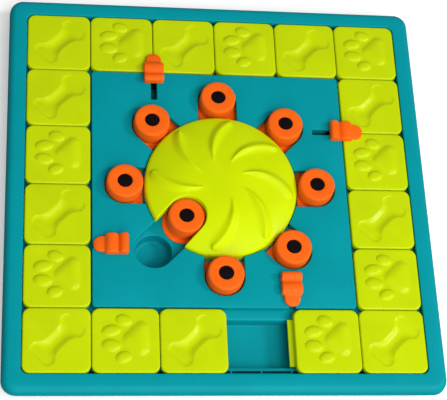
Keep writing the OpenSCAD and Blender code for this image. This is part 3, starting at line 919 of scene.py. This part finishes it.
class PUZZLE_OT_wheel(bpy.types.Operator):
    """Builds the domed wheel with its swirl ridges and notch"""
    bl_idname = "puzzle.wheel"
    bl_label = "Wheel"

    def execute(self, context):
        wheel_r, top = play().wheel_r, board().top
        low, mid, skin, hub_r, hub_foot = top - 8.2, top - 2.1, 3, 8, 14.4

        def body(x, y):
            return -melt(-disc(x, y, 0, 0, wheel_r), notch(x, y), 1.5)

        def cavity(x, y):
            ring = np.maximum(disc(x, y, 0, 0, 66.2), 12.0 - np.hypot(x, y))
            return np.maximum(ring, -pocket(x, y, 22.1, 27.2))

        def crest(x, y):
            return dome(x, y) + swirl(x, y) - round_over(notch(x, y), 1.2)

        def under(x, y):
            hollow = np.clip(-cavity(x, y) / 0.05 + 0.5, 0, 1)
            return mid + (np.maximum(dome(x, y) - skin - mid, 0)) * hollow

        def flank(x, y, share):
            """Zero at that share of the way down either side of a ridge."""
            across, side = ridge(x, y)
            return np.where(side > 0, np.abs(across) - share * side, 2.0)

        def skirt(x, y):
            ring = np.maximum(disc(x, y, 0, 0, wheel_r), -pocket(x, y, 19.9, 29.4))
            return np.maximum(ring, -cavity(x, y))
        edge = outline(body, 74, 0, 1.2, 0.8)
        lines = edge_lines(body, edge, 4.0, (0.02, 0.05, 0.11, 0.2, 0.35, 0.55, 0.8, 1.1))
        for share in (1.0, 0.85, 0.7, 0.55, 0.4, 0.26, 0.12):
            for loop in outline(lambda x, y: flank(x, y, share), 74, 0, 1.0, 0.4):
                lines += [np.stack(turned(loop[:, 0], loop[:, 1], -turn), 1) for turn in RIDGE_TURNS]
        m = Moulding()
        m.slab(edge, crest, under, lines, scatter(body, 74, 2.2, 1.8),
               contours(cavity, 74, (0.025, -0.025), 3, 1.0), near=0.7)
        m.slab(outline(skirt, 74, 0, 1.5, 0.8), flat(mid), flat(low))
        m.lathe([(2.5, hub_foot), (hub_r, hub_foot), (hub_r, low), (2.5, low)])
        hand_over(m.piece("swirl_wheel", "wheel_lime"), "wheel", "wheel")
        return {"FINISHED"}


# ---- sliders and locks

class PUZZLE_OT_sliders(bpy.types.Operator):
    """Builds the knob sliders and the plugs in them"""
    bl_idname = "puzzle.sliders"
    bl_label = "Sliders"

    def execute(self, context):
        top, r = board().top, play().knob_r
        h = top + play().knob_h
        flange, foot_top, recess = top - 7.2, top - 6.2, h - 3

        def foot(x, y):
            return tombstone(x, y, 16.6, 19.3, 1.5, 3)

        def body(x, y):
            return tombstone(x, y, 16.6, 16.9, 0, 3)
        m = Moulding()
        m.slab(outline(foot, 26, 0, 1.5, 1.5), flat(flange), flat(top - 8.2))
        edge = outline(body, 26, 0, 1.2, 1.2)
        m.slab(edge, lambda x, y: foot_top - round_over(-body(x, y), 0.6), flat(flange),
               edge_lines(body, edge, 0.6))
        m.lathe([(0, top - 7), (r, top - 7), (r - 0.5, h - 2.2)] + arc(r - 2.7, h - 2.2, 2.2, 0, 90, 8)
                + arc(7.2, h - 0.4, 0.4, 90, 180, 4) + [(6.8, recess), (0, recess)], steps=96)
        plug = Moulding()
        plug.lathe([(0, recess), (6.45, recess), (6.45, h - 1.25)] + arc(6.2, h - 1.25, 0.25, 0, 90, 3)
                   + [(0, h - 1.05)], steps=96)
        slider = m.piece("slider master", ORANGE)
        disc_plug = plug.piece("plug master", BLACK)
        for k in range(1, 9):
            spot = (NOTCH_RING if k == 6 else WELL_RING, 0, 0, 45 * (k - 1))
            body_name = "slider_%d" % k
            set_down(slider, body_name, ORANGE, body_name, spot)
            set_down(disc_plug, body_name, BLACK, "knob_plug_%d" % k, spot)
        clear([slider, disc_plug])
        return {"FINISHED"}


# Side of a lock, from its rear end to its tip: distance along it, and height less the hump's
LOCK_HUMPS = ((0, -2.2), (0.35, -1.2), (1.1, -0.4), (2.2, 0), (3.6, 0.1), (5.2, -0.2), (6.6, -0.9),
              (7.6, -1.9), (8.3, -3.1), (8.8, -3.7), (9.3, -3.3), (10.2, -2.3), (11.6, -1.5),
              (13.6, -1.0), (15.8, -0.9), (17.6, -1.3), (19.2, -2.3), (20.3, -3.6))
# and its tip, which goes over the tiles: height above the deck
LOCK_TIP = ((21.2, 3.7), (23, 3.5), (25.5, 3.35), (27.6, 3.1), (29.0, 2.8), (29.9, 2.45), (30.5, 2.1),
            (30.85, 1.75), (31.0, 1.3))


def lock_width(u):
    """Half width of a lock: a body with a rounded rear and a waist, and a round-nosed tip."""
    tip_half, nose_from, nose_long = 7.3, 23.9, 7.1
    nose = tip_half
    if u >= nose_from:
        nose = math.sqrt(max(tip_half ** 2 - ((u - nose_from) * tip_half / nose_long) ** 2, 0.5))
    rear = 9.25 - 1.1 * max(0, 1 - u / 2.2) ** 2
    waist = 0.35 * math.exp(-((u - 8.8) / 1.2) ** 2)
    s = ease((u - 19.6) / 1.8)
    return (rear - waist) * (1 - s) + nose * s


class PUZZLE_OT_locks(bpy.types.Operator):
    """Builds the locks that slide over the tiles"""
    bl_idname = "puzzle.locks"
    bl_label = "Locks"

    def execute(self, context):
        top, h = board().top, play().lock_h
        low = 0.6   # height of the lock's underside above the deck
        rows = []
        for u, z in [(u, h + z) for u, z in LOCK_HUMPS] + list(LOCK_TIP):
            w = lock_width(u)
            e = min(1.5, z * 0.45)
            half = [(-w, low)] + [(-w + e - e * math.cos(math.radians(a)),
                                   z - e + e * math.sin(math.radians(a))) for a in (0, 22, 45, 68, 90)]
            rows.append([(u, y, c + top) for y, c in half + [(-y, c) for y, c in half[::-1]]])
        n = len(rows[0])
        verts = [v for row in rows for v in row]
        faces = [(i * n + k, i * n + j, (i + 1) * n + j, (i + 1) * n + k)
                 for i in range(len(rows) - 1) for j, k in around(range(n))]
        faces += [tuple(range(n)), tuple(range(len(verts) - 1, len(verts) - n - 1, -1))]
        m = Moulding()
        m.add(verts, faces)
        # stem in the deck's slot, and the tooth between the tiles
        m.block((5.2, -2.4, top - 5), (10.2, 2.4, top - 4))
        m.prism([(5.2, -2.4), (12.5, -2.4), (13.5, -1.6), (15.5, -0.4), (15.5, 0.4), (13.5, 1.6),
                 (12.5, 2.4), (5.2, 2.4)], top - 4, top + low)
        snap = Moulding()
        snap.block((-1.8, -6, top - 7.9), (9.2, 6, top - 5))
        lock = m.piece("lock master", ORANGE)
        clip = snap.piece("clip master", BLACK)
        for i, side in enumerate(SIDES):
            # the locks on the right and at the back stand over the tiles
            spot = (84.4 + (LOCK_TRAVEL if i < 2 else 0), board().pitch, 0, 90 * i)
            set_down(lock, "lock_" + side, ORANGE, "lock_" + side, spot)
            set_down(clip, "lock_" + side, BLACK, "lock_clip_" + side, spot)
        clear([lock, clip])
        return {"FINISHED"}


# ---- tiles

BONE_MIDDLE = (0.8, 0.3)


def bone(x, y):
    """Outline of the bone, lying across the tile."""
    u, v = turned(x - BONE_MIDDLE[0], y - BONE_MIDDLE[1], 45)
    ends = np.hypot(np.abs(u) - 17.5, np.maximum(np.abs(v) - 6.6, 0)) - 6.5
    return melt(round_box(u, v, 17.5, 8.2, 1), ends, 3.6)


def bone_dip(x, y):
    """Depth of the bone from 0 to 1: a round trough along the shaft that runs out into shallow ends."""
    u, v = (np.abs(c) for c in turned(x - BONE_MIDDLE[0], y - BONE_MIDDLE[1], 45))
    half = 8.2 + 5.2 * ease((u - 5) / 11)
    power = 1.25 + 3.75 * ease((u - 12.5) / 5.5)
    deep = 0.28 + 0.72 * (1 - ease((u - 7) / 14))
    across = np.cos(np.pi / 2 * np.minimum(v / half, 1) ** power) ** 2
    return deep * across * ease((0.1 - bone(x, y)) / 1.5)


# Toes: middle, half length, half width and lean in degrees. Pad: corners of its triangle.
TOES = ((-1.4, 17.9, 7.5, 5.4, -18), (-12.3, 8.4, 8.5, 5.5, 8), (-12.3, -4.8, 8.5, 5.8, -8),
        (-1.8, -15.2, 7.3, 5.4, 14))
PAD = ((3.4, 1.2), (13.8, -7.4), (13.6, 11.2))


def toe(x, y, cx, cy, half_long, half_wide, lean):
    """Distance from the middle of a toe, as a share of its half size."""
    u, v = turned(x - cx, y - cy, lean)
    return np.hypot(u / half_long, v / half_wide)


def pad(x, y):
    """Outline of the main pad of the paw: a triangle with its corners rounded to 6.1 mm."""
    inside, near = np.full(np.shape(x), -1e9), np.full(np.shape(x), 1e9)
    for (ax, ay), (bx, by) in around(PAD):
        ex, ey = bx - ax, by - ay
        s = np.clip(((x - ax) * ex + (y - ay) * ey) / (ex * ex + ey * ey), 0, 1)
        near = np.minimum(near, np.hypot(x - ax - s * ex, y - ay - s * ey))
        inside = np.maximum(inside, ((x - ax) * ey - (y - ay) * ex) / math.hypot(ex, ey))
    return np.where(inside < 0, inside, near) - 6.1


def paw_lift(x, y):
    """Pillow height of the paw, from 0 to 1."""
    out = 1 - (1 - np.clip(-pad(x, y) / 8.0, 0, 1)) ** 2
    for spec in TOES:
        out = np.maximum(out, 0.9 * (1 - toe(x, y, *spec) ** 3.6))
    return out


def bone_lines():
    """Lines that carry the shape of the bone."""
    return contours(bone, 28, (0.1, -0.3, -0.7, -1.2, -1.7, -2.5, -3.5, -4.6, -5.8, -7.1), 0.9, 0.5)


def paw_lines():
    """Lines that carry the shape of the toes and the pad."""
    lines = []
    turn = np.linspace(0, 2 * np.pi, 40, endpoint=False)
    for cx, cy, half_long, half_wide, lean in TOES:
        for share in (1.0, 0.97, 0.9, 0.78, 0.6, 0.36):
            u, v = turned(share * half_long * np.cos(turn), share * half_wide * np.sin(turn), -lean)
            lines.append(np.stack([cx + u, cy + v], 1))
    return lines + contours(pad, 28, (0, -0.25, -0.8, -1.6, -2.6, -3.8, -5.2), 0.9, 0.5)


def tile_cell(k):
    """Column and row of a tile, counted from the back left corner. One cell is left free."""
    i = k - 1 if k <= 12 else k
    if i <= 5:
        return i, 0
    if i <= 10:
        return 5, i - 5
    return (15 - i, 5) if i <= 15 else (0, 20 - i)


class PUZZLE_OT_tiles(bpy.types.Operator):
    """Builds the tiles, with bones and paw prints by turns"""
    bl_idname = "puzzle.tiles"
    bl_label = "Tiles"

    def execute(self, context):
        b = board()
        top, h, r = b.top, b.cap / 2, b.cap_edge
        under, tongue_top, foot, guide_foot = top - 5.8, top - 6.2, top - 8.7, top - 11.2
        tongue_half, reach = 21.35, 4.7
        cap = square(h, 7)
        masters = []
        for kind, lines, relief in (
                ("bone", bone_lines(), lambda x, y: -b.bone_down * bone_dip(x, y)),
                ("paw", paw_lines(), lambda x, y: b.paw_up * paw_lift(x, y))):
            m = Moulding()
            rim = outline(cap, h + 2, 0, 1.3, 0.7)
            lines += edge_lines(cap, rim, r, (0.034, 0.134, 0.293, 0.5, 0.741, 1.0))
            m.slab(rim, lambda x, y: top - round_over(-cap(x, y), r) + relief(x, y), flat(under),
                   lines, scatter(cap, h, 2.4, 2.6), near=0.8)
            # body, tongues to the left and the back, and the guide in the trough
            body = outline(lambda x, y: round_box(x + 2.9, y - 2.9, 25.95, 25.95, 3), h + 6, 0, 3, 1.0)
            m.slab(body, flat(under), flat(foot))
            m.block((-h - reach, -tongue_half, foot), (-h + 0.5, tongue_half, tongue_top))
            m.block((-tongue_half, h - 0.5, foot), (tongue_half, h + reach, tongue_top))
            m.slab(outline(square(21.15, 3), 24, 0, 3, 1.0), flat(foot), flat(guide_foot))
            masters.append(m.piece("%s tile master" % kind, LIME))
        for k in range(1, 20):
            column, row = tile_cell(k)
            spot = ((column - 2.5) * b.pitch, (2.5 - row) * b.pitch, 0, 0)
            name = "tile_%d" % k
            set_down(masters[(k + 1) % 2], name, LIME, name, spot)
        clear(masters)
        return {"FINISHED"}


class PUZZLE_OT_base(bpy.types.Operator):
    """Gives the base pan, its pads and the screws their finishes"""
    bl_idname = "puzzle.base"
    bl_label = "Base"

    def execute(self, context):
        slots = {"base_pan": TEAL, "foot_pads": "rubber", "base_screws": "steel",
                 "deck_screws": "steel", "wheel_screw": "steel", "wheel_washer": "steel"}
        for name, slot in slots.items():
            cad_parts[name].material_slots[0].material = finish(slot)
        return {"FINISHED"}


# ---- stage

STAGE_HALF = 12.0   # in m
# name, place in m, width in m and power in W; all of them face the board
LAMPS = (("front softbox", (0.47, -0.92, 1.5), 1.15, 19),
         ("front fill", (0.1, -2.2, 0.85), 1.2, 15),
         ("right lamp", (3.36, -0.48, 3.14), 0.7, 64))
CAMERA_PLACE = (-0.173847, -0.530537, 1.139891)
CAMERA_TURN = (25.1019, -7.8617, -2.4863)
CAMERA_LENS = 110.485


class PUZZLE_OT_stage(bpy.types.Operator):
    """Sets out the white floor, the soft lights and the camera"""
    bl_idname = "puzzle.stage"
    bl_label = "Stage"

    def execute(self, context):
        scene = context.scene
        s = STAGE_HALF
        mesh = bpy.data.meshes.new("floor")
        mesh.from_pydata([(-s, -s, 0), (s, -s, 0), (s, s, 0), (-s, s, 0)], [], [(0, 1, 2, 3)])
        mesh.materials.append(seamless_paper("white seamless paper"))
        linked("floor", mesh)

        scene.world = bpy.data.worlds.new("studio")
        scene.world.use_nodes = True
        node(scene.world.node_tree, "Background", Color=(1, 1, 1, 1), Strength=0.29)

        for name, place, width, power in LAMPS:
            data = bpy.data.lights.new(name, "AREA")
            data.shape, data.size, data.energy = "SQUARE", width, power
            lamp = linked(name, data)
            lamp.location = place
            lamp.rotation_euler = (-Vector(place)).to_track_quat("-Z", "Y").to_euler()

        data = bpy.data.cameras.new("camera")
        data.sensor_width = 36.0
        data.lens = CAMERA_LENS
        data.clip_end = 100
        camera = linked("camera", data)
        camera.location = CAMERA_PLACE
        camera.rotation_euler = tuple(math.radians(a) for a in CAMERA_TURN)
        scene.camera = camera
        scene.view_settings.view_transform = "Standard"
        return {"FINISHED"}


# ---- add-on

BUILD = (PUZZLE_OT_rim, PUZZLE_OT_deck, PUZZLE_OT_track, PUZZLE_OT_wells, PUZZLE_OT_wheel,
         PUZZLE_OT_sliders, PUZZLE_OT_locks, PUZZLE_OT_tiles, PUZZLE_OT_base, PUZZLE_OT_stage)
GROUPS = {"puzzle_board": PUZZLE_PG_board, "puzzle_play": PUZZLE_PG_play,
          "puzzle_colours": PUZZLE_PG_colours}


class PUZZLE_PT_panel(bpy.types.Panel):
    """Lists the sizes, the colours and the pieces"""
    bl_label = "Dog Puzzle"
    bl_idname = "PUZZLE_PT_panel"
    bl_space_type = "VIEW_3D"
    bl_region_type = "UI"
    bl_category = "Dog Puzzle"

    def draw(self, context):
        for key in GROUPS:
            group = getattr(context.scene, key)
            box = self.layout.box()
            for prop in group.__annotations__:
                box.prop(group, prop)
        for op in BUILD:
            self.layout.operator(op.bl_idname)


CLASSES = (*GROUPS.values(), *BUILD, PUZZLE_PT_panel)


def register():
    for cls in CLASSES:
        bpy.utils.register_class(cls)
    for key, group in GROUPS.items():
        setattr(bpy.types.Scene, key, bpy.props.PointerProperty(type=group))


def unregister():
    for key in GROUPS:
        delattr(bpy.types.Scene, key)
    for cls in reversed(CLASSES):
        bpy.utils.unregister_class(cls)


def main():
    register()
    for op in BUILD:
        group, name = op.bl_idname.split(".")
        getattr(getattr(bpy.ops, group), name)()


if __name__ == "__main__":
    main()
